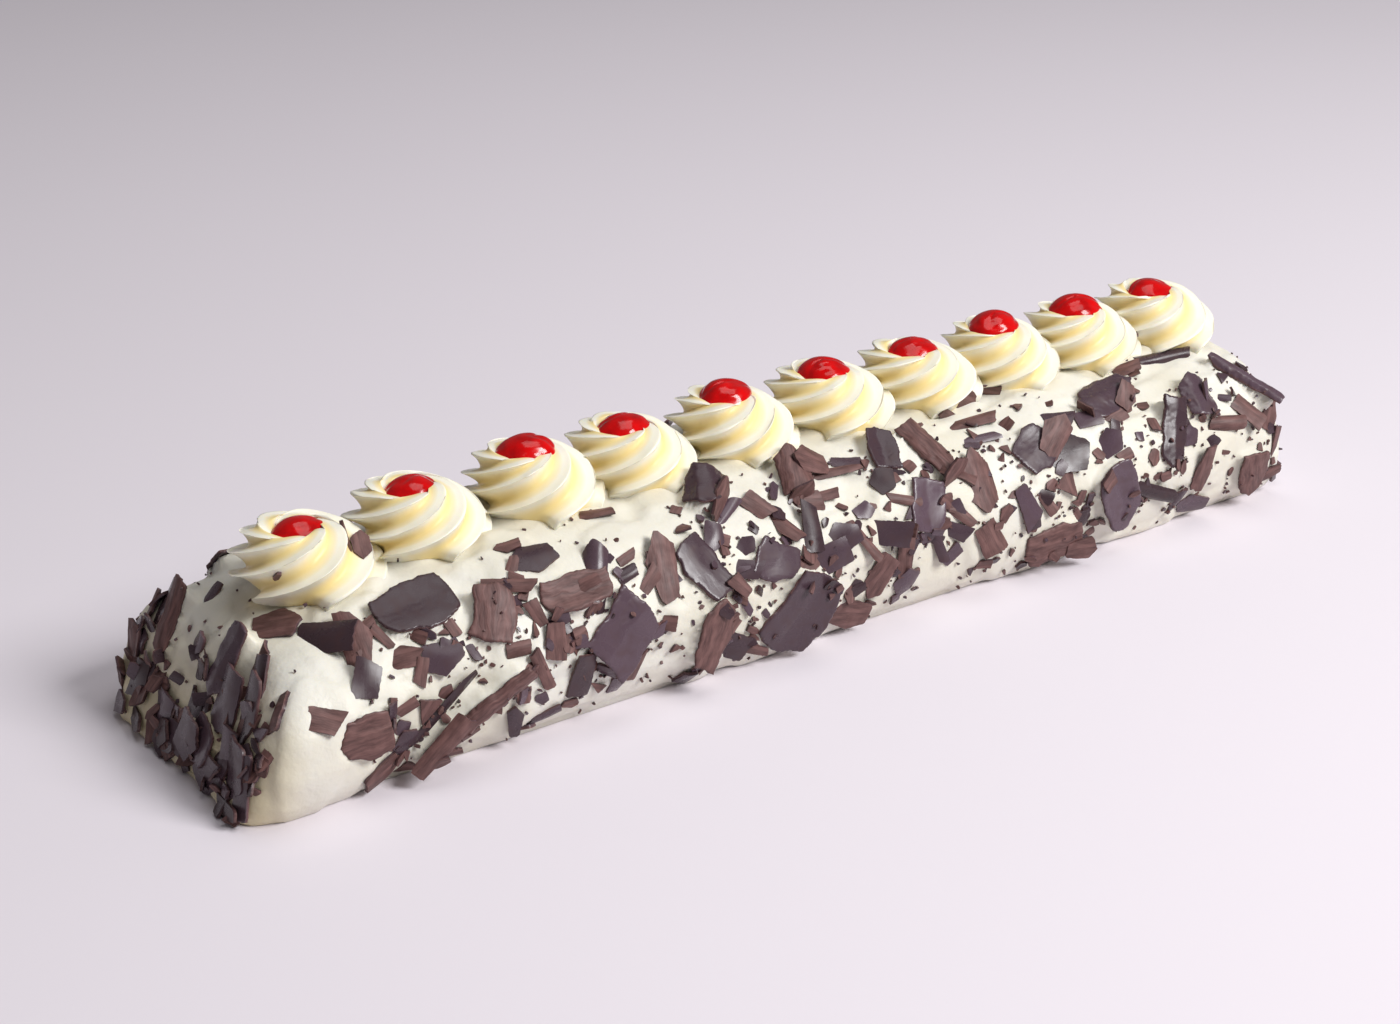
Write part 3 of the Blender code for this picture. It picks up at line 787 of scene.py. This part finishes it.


# %% [markdown]
# The flakes of middling size are listed one by one, in clusters as a baker's palm leaves them.

# %% Middling flakes
# Side, place along, height, turn, length, width, curl, tip (degrees), corners, and whether it is torn.
FLAKES = [
    ("front", -186, 45, -45, 17, 12, 20, 8, 5, True),
    ("front", -178, 45, -40, 20, 13, 50, 6, 4, False),
    ("front", -171, 44, 80, 20, 10, 60, 8, 5, True),
    ("front", -175, 37, 65, 15, 9, 10, 6, 4, False),
    ("left", -44, 34, 20, 15, 13, 20, 26, 5, True),
    ("front", -191, 31, -35, 12, 8, 10, 14, 4, True),
    ("front", -164, 44, 110, 10, 3, 60, 10, 4, True),
    ("front", -167, 46, 15, 11, 4, 60, 10, 4, True),
    ("front", -160, 39, -10, 12, 8, 30, 12, 5, True),
    ("front", -157, 35, 65, 10, 5, 30, 10, 4, True),
    ("front", -150, 37, -12, 14, 11, 35, 8, 5, False),
    ("front", -120, 49, -30, 19, 5, 80, 8, 4, True),
    ("front", -116, 42, 110, 10, 5, 30, 10, 4, True),
    ("front", -108, 52, 0, 16, 12, 25, 6, 6, False),
    ("front", -112, 54, -12, 9, 5, 20, 12, 5, True),
    ("front", -117, 50, -60, 8, 4, 20, 10, 4, True),
    ("front", -126, 35, 0, 9, 5, 110, 8, 4, True),
    ("front", -119, 27, -72, 18, 5, 60, 8, 4, True),
    ("front", -113, 33, 82, 13, 8, 20, 6, 4, True),
    ("front", -109, 39, 20, 8, 5, 20, 12, 4, False),
    ("front", -105, 31, -10, 8, 5, 20, 12, 4, False),
    ("front", -104, 20, 80, 15, 11, 25, 5, 4, False),
    ("front", -84, 17, 88, 17, 7, 40, 6, 4, True),
    ("front", -90, 12, 75, 10, 6, 20, 8, 4, False),
    ("front", -71, 28, -10, 6, 5, 20, 12, 4, True),
    ("front", -128, 12, 95, 13, 6, 30, 8, 5, False),
    ("front", -123, 6, 60, 9, 4, 40, 18, 4, True),
    ("front", -116, 9, 25, 13, 4, 60, 10, 4, False),
    ("front", -152, 24, 42, 34, 4, 120, 5, 4, False),
    ("front", -156, 13, 38, 26, 7, 120, 5, 4, True),
    ("front", -158, 24, 60, 11, 9, 20, 8, 3, True),
    ("front", -144, 11, 60, 10, 6, 20, 10, 4, True),
    ("front", -149, 5, 10, 10, 5, 30, 12, 5, True),
    ("front", -170, 26, 100, 14, 4, 60, 12, 4, False),
    ("front", -165, 27, 20, 8, 4, 160, 14, 4, True),
    ("front", -165, 16, 60, 10, 7, 30, 10, 5, False),
    ("front", -172, 7, 25, 15, 10, 30, 8, 5, True),
    ("front", -162, 4, -20, 9, 7, 20, 14, 3, True),
    ("front", -88, 49, 60, 11, 9, 120, 8, 5, False),
    ("front", -81, 44, 10, 9, 5, 90, 14, 4, False),
    ("front", -79, 47, 15, 10, 3, 60, 10, 4, True),
    ("front", -97, 47, 10, 8, 4, 30, 14, 4, True),
    ("front", -76, 54, -25, 15, 5, 60, 10, 4, True),
    ("front", -68, 43, 75, 27, 11, 50, 7, 5, True),
    ("front", -74, 41, 40, 12, 6, 30, 12, 4, True),
    ("front", -37, 55, 30, 19, 10, 20, 6, 5, True),
    ("front", -36, 49, 30, 17, 5, 130, 14, 4, False),
    ("front", -23, 49, -55, 13, 7, 30, 10, 4, True),
    ("front", -46, 46, 60, 10, 7, 40, 12, 5, False),
    ("front", -43, 45, -20, 7, 5, 20, 12, 4, True),
    ("front", -38, 36, -25, 14, 7, 40, 10, 4, False),
    ("front", -45, 34, -50, 10, 6, 30, 12, 4, True),
    ("front", -41, 25, -70, 7, 3, 30, 12, 4, False),
    ("front", -4, 31, 8, 15, 10, 15, 8, 4, False),
    ("front", -18, 43, -70, 14, 6, 60, 10, 5, True),
    ("front", -9, 40, 84, 21, 7, 40, 6, 4, False),
    ("front", -5, 47, -15, 17, 7, 30, 12, 4, True),
    ("front", 9, 51, -14, 24, 5, 110, 6, 4, True),
    ("front", 0, 47, -8, 18, 4, 80, 8, 4, True),
    ("front", -6, 51, 60, 10, 8, 20, 10, 5, True),
    ("front", 2, 57, -28, 17, 10, 30, 8, 5, True),
    ("front", 18, 52, -20, 12, 5, 30, 10, 4, False),
    ("front", 13, 41, 20, 7, 6, 30, 12, 5, False),
    ("front", 3, 36, 20, 13, 11, 20, 12, 5, False),
    ("front", 10, 33, -62, 17, 4, 100, 12, 4, True),
    ("front", 21, 34, -18, 17, 10, 20, 10, 4, False),
    ("front", 25, 47, 60, 11, 9, 20, 10, 5, False),
    ("front", 29, 42, -25, 14, 4, 90, 10, 4, True),
    ("front", 27, 27, 85, 20, 7, 50, 8, 4, True),
    ("front", 16, 19, 55, 17, 10, 20, 8, 5, True),
    ("front", 27, 14, 70, 12, 9, 30, 8, 5, False),
    ("front", 4, 9, -15, 19, 13, 30, 5, 5, True),
    ("front", 6, 17, 10, 7, 4, 20, 16, 5, False),
    ("front", -46, 13, -25, 14, 11, 20, 8, 4, False),
    ("front", -36, 8, -25, 12, 4, 30, 8, 4, True),
    ("front", -63, 5, 75, 9, 6, 20, 8, 4, False),
    ("front", 41, 25, -75, 16, 4, 70, 8, 4, False),
    ("front", 36, 29, 10, 11, 7, 20, 12, 5, False),
    ("front", 48, 20, 40, 11, 6, 10, 8, 4, False),
    ("front", 52, 45, 50, 14, 12, 30, 10, 6, True),
    ("front", 58, 43, -40, 10, 7, 20, 10, 4, True),
    ("front", 63, 40, 85, 24, 13, 45, 6, 6, True),
    ("front", 51, 33, -50, 15, 5, 60, 10, 4, True),
    ("front", 49, 27, -25, 12, 6, 30, 14, 4, False),
    ("front", 62, 23, -70, 20, 11, 60, 8, 4, True),
    ("front", 70, 29, 60, 7, 5, 30, 14, 5, True),
    ("front", 80, 29, -70, 17, 10, 20, 8, 4, False),
    ("front", 89, 28, -60, 10, 6, 40, 14, 4, True),
    ("front", 98, 33, -80, 13, 9, 20, 14, 3, True),
    ("front", 106, 17, 40, 8, 7, 30, 12, 6, False),
    ("front", 104, 8, 0, 13, 9, 30, 8, 5, True),
    ("front", 138, 21, -18, 25, 9, 150, 8, 4, False),
    ("front", 154, 13, 80, 11, 7, 100, 10, 5, False),
    ("front", 164, 8, -10, 17, 9, 40, 8, 5, False),
    ("front", 164, 22, 88, 19, 9, 50, 8, 6, True),
    ("front", 159, 35, 40, 8, 7, 20, 14, 5, False),
    ("front", 156, 52, -8, 14, 6, 20, 6, 4, True),
    ("front", 175, 52, -8, 27, 8, 200, 4, 4, False),
    ("front", 178, 36, -12, 18, 8, 190, 8, 4, True),
    ("front", 190, 38, -55, 19, 8, 30, 10, 4, True),
    ("front", 203, 33, 70, 13, 9, 30, 16, 5, True),
    ("front", 205, 24, 85, 14, 6, 40, 12, 4, True),
    ("front", 203, 11, 20, 10, 6, 40, 14, 4, True),
    ("front", 173, 47, 80, 14, 5, 60, 10, 4, False),
    ("front", 123, 39, 40, 13, 10, 60, 10, 5, False),
    ("front", 131, 46, 8, 16, 7, 30, 10, 4, True),
    ("front", 118, 47, -8, 14, 7, 40, 10, 4, False),
    ("front", 77, 52, -12, 21, 6, 60, 8, 4, True),
    ("front", 70, 55, -40, 11, 6, 20, 8, 4, True),
    ("front", 82, 56, -30, 15, 10, 20, 8, 5, True),
    ("front", 73, 49, -10, 22, 4, 90, 8, 4, False),
    ("front", 96, 55, 12, 16, 9, 20, 6, 4, True),
    ("front", 108, 49, -25, 14, 7, 40, 10, 4, False),
    ("front", 102, 41, -8, 19, 14, 20, 8, 5, False),
    ("front", 99, 48, 40, 16, 11, 30, 10, 5, True),
    ("front", 139, 51, 60, 12, 8, 20, 10, 5, True),
    ("front", -155, 61, 75, 11, 6, 20, 6, 6, True),
    ("front", -159, 64, 100, 12, 3, 40, 6, 4, True),
    ("front", -184, 60, 80, 4, 2, 10, 0, 5, True),
    ("front", 128, 62, 60, 11, 6, 20, 8, 4, False),
    ("front", 168, 61, 70, 7, 3, 20, 8, 4, False),
    ("left", 34, 37, 70, 16, 12, 30, 14, 5, False),
    ("left", 41, 33, 80, 14, 8, 30, 16, 5, True),
    ("left", 33, 14, 92, 16, 13, 20, 6, 4, False),
    ("left", 15, 13, 84, 17, 13, 20, 6, 4, False),
    ("left", 42, 22, 100, 15, 7, 30, 10, 4, True),
    ("left", -8, 20, 110, 15, 5, 40, 8, 4, False),
    ("left", 1, 29, 70, 9, 5, 30, 12, 4, False),
    ("left", 8, 34, 60, 9, 7, 30, 12, 5, False),
    ("left", -20, 27, 86, 24, 14, 25, 8, 4, False),
    ("left", -24, 38, 80, 20, 5, 60, 22, 4, True),
    ("left", -33, 29, 84, 28, 13, 30, 8, 5, False),
    ("left", -30, 36, 100, 18, 10, 30, 18, 4, False),
    ("left", -42, 12, 100, 20, 9, 20, 8, 4, False),
    ("left", -36, 14, 84, 22, 16, 20, 8, 5, False),
    ("left", -20, 7, 20, 19, 14, 30, 8, 5, False),
    ("left", -7, 13, 60, 16, 13, 20, 10, 5, False),
    ("left", 12, 5, 30, 14, 10, 20, 12, 5, False),
    ("left", 27, 4, -10, 12, 6, 20, 14, 5, False),
    ("left", -37, 3, 10, 16, 6, 30, 12, 4, False),
    ("left", -28, 18, 95, 20, 8, 40, 12, 4, False),
]
lying_on = tree_of([coat] + shards + rosettes)
middling = Heap()
for index, placed_flake in enumerate(FLAKES):
    side, along, height, turn, length, width, curl, tip, corner_count, torn_out = placed_flake
    found = seat(lying_on, side, along * MM, height * MM)
    if found is None:
        continue
    point, axes = found
    spin = Matrix.Rotation(math.radians(turn), 3, "Z") @ Matrix.Rotation(math.radians(-tip), 3, "Y")
    made = flake(length * MM, width * MM, curl, 1.1 * MM, 16, corner_count, index)
    raised = -made[0][:, 2].min() * 0.7 if curl > 0 else 0.5 * MM
    middling.add(made, point + axes.col[2] * raised, axes @ spin, torn_out, random.Random(index).random())
middling_flakes = middling.build("middling_flakes")
print(len(FLAKES), "middling flakes,", len(middling_flakes.data.polygons), "faces")

# %% [markdown]
# The smallest flakes and the crumbs are scattered with a fixed random seed. They lie thickest where the
# large shards are, because they break off them, and there are none on the rosettes.


# %% Where small flakes fall
def near_shard(tree, point, reach):
    return tree.find_nearest(point, reach)[0] is not None


def scatter(heap, side, count, reach_x, reach_z, sizes, thickness, cells, tipping, seed, near_share):
    """Lays this many flakes at random on one side of the cake."""
    rng = random.Random(seed)
    placed = 0
    while placed < count:
        found = seat(lying_on, side, rng.uniform(*reach_x) * MM, rng.uniform(*reach_z) * MM)
        near = found and near_shard(shard_tree, found[0], 7 * MM)
        if not found or (not near and rng.random() < near_share):
            continue
        if near_shard(shard_tree, found[0], 0.5 * MM) and rng.random() < 0.85:
            continue
        point, axes = found
        length = rng.uniform(*sizes) * MM
        width = length * rng.uniform(0.35, 0.9)
        curl = rng.uniform(-30, 60)
        corner_count = rng.choice((3, 4, 4, 5))
        made = flake(length, width, curl, thickness, cells, corner_count, seed * 999 + placed)
        spin = Matrix.Rotation(rng.uniform(0, 6.3), 3, "Z") @ Matrix.Rotation(rng.gauss(0, tipping), 3, "Y")
        lifted = point + axes.col[2] * rng.uniform(0.1, 0.8) * MM
        heap.add(made, lifted, axes @ spin, rng.random() < 0.6, rng.random())
        placed += 1


# %% Scatter the small flakes
small = Heap()
scatter(small, "front", 260, (-172, 212), (4, 53), (3, 8.5), 0.9 * MM, 6, 0.35, 1, 0.7)
scatter(small, "left", 70, (-50, 48), (2, 32), (5, 13), 0.9 * MM, 6, 0.4, 2, 0.2)
scatter(small, "right", 14, (-40, 40), (4, 46), (4, 10), 0.9 * MM, 6, 0.4, 3, 0.5)
scatter(small, "back", 150, (-200, 205), (5, 50), (4, 14), 1.0 * MM, 7, 0.3, 4, 0.4)
small_flakes = small.build("small_flakes")
print("small flakes:", len(small_flakes.data.polygons), "faces")

# %% Scatter the crumbs
crumbs = Heap()
scatter(crumbs, "front", 620, (-178, 214), (3, 55), (0.7, 2.4), 0.6 * MM, 2, 0.6, 5, 0.6)
scatter(crumbs, "left", 70, (-45, 45), (3, 46), (0.7, 2.6), 0.6 * MM, 2, 0.6, 6, 0.2)
scatter(crumbs, "right", 50, (-42, 42), (3, 48), (0.7, 2.4), 0.6 * MM, 2, 0.6, 7, 0.4)
scatter(crumbs, "back", 350, (-205, 210), (3, 55), (0.7, 2.4), 0.6 * MM, 2, 0.6, 8, 0.5)
crumb_pieces = crumbs.build("chocolate_crumbs")
print("crumbs:", len(crumb_pieces.data.polygons), "faces")

# %% [markdown]
# ## The floor and the light
#
# The cake stands on a pale floor. The main light is a large soft panel to the right and a little in
# front, which leaves the left end in shade. A wide panel above fills the shadows.

# %% Lay the floor
bpy.ops.object.select_all(action="DESELECT")
bpy.ops.mesh.primitive_plane_add(size=14, location=(0, 0, 0))
floor = bpy.context.object
floor.name = "pale_floor"
paint = Recipe("floor_paint")
paint.set(
    Base_Color=paint.mix(
        paint.ramp(paint.noise(1.5), 0.3, 0.7), colour(228, 221, 228), colour(231, 224, 231)
    ),
    Roughness=paint.ramp(paint.noise(0.6), 0.3, 0.7, 0.85, 0.95),
)
floor.data.materials.append(paint.material)


# %% Hang the lights
def hang_light(name, place, size, power):
    """A square panel of white light that faces the cake."""
    bpy.ops.object.select_all(action="DESELECT")
    bpy.ops.object.light_add(type="AREA", location=place)
    light = bpy.context.object
    light.name = name
    light.data.size = size
    light.data.energy = power
    light.rotation_euler = (-Vector(place)).to_track_quat("-Z", "Y").to_euler()
    return light


hang_light("main_panel", (0.72, -1.42, 1.35), 0.8, 43)
hang_light("top_panel", (0.3, -0.1, 1.7), 1.2, 9)
world = bpy.data.worlds.new("studio")
world.use_nodes = True
world.node_tree.nodes["Background"].inputs["Color"].default_value = (0.80, 0.77, 0.79, 1)
world.node_tree.nodes["Background"].inputs["Strength"].default_value = 0.19
bpy.context.scene.world = world
bpy.context.scene.view_settings.view_transform = "Standard"
print("two panels and a pale surround")
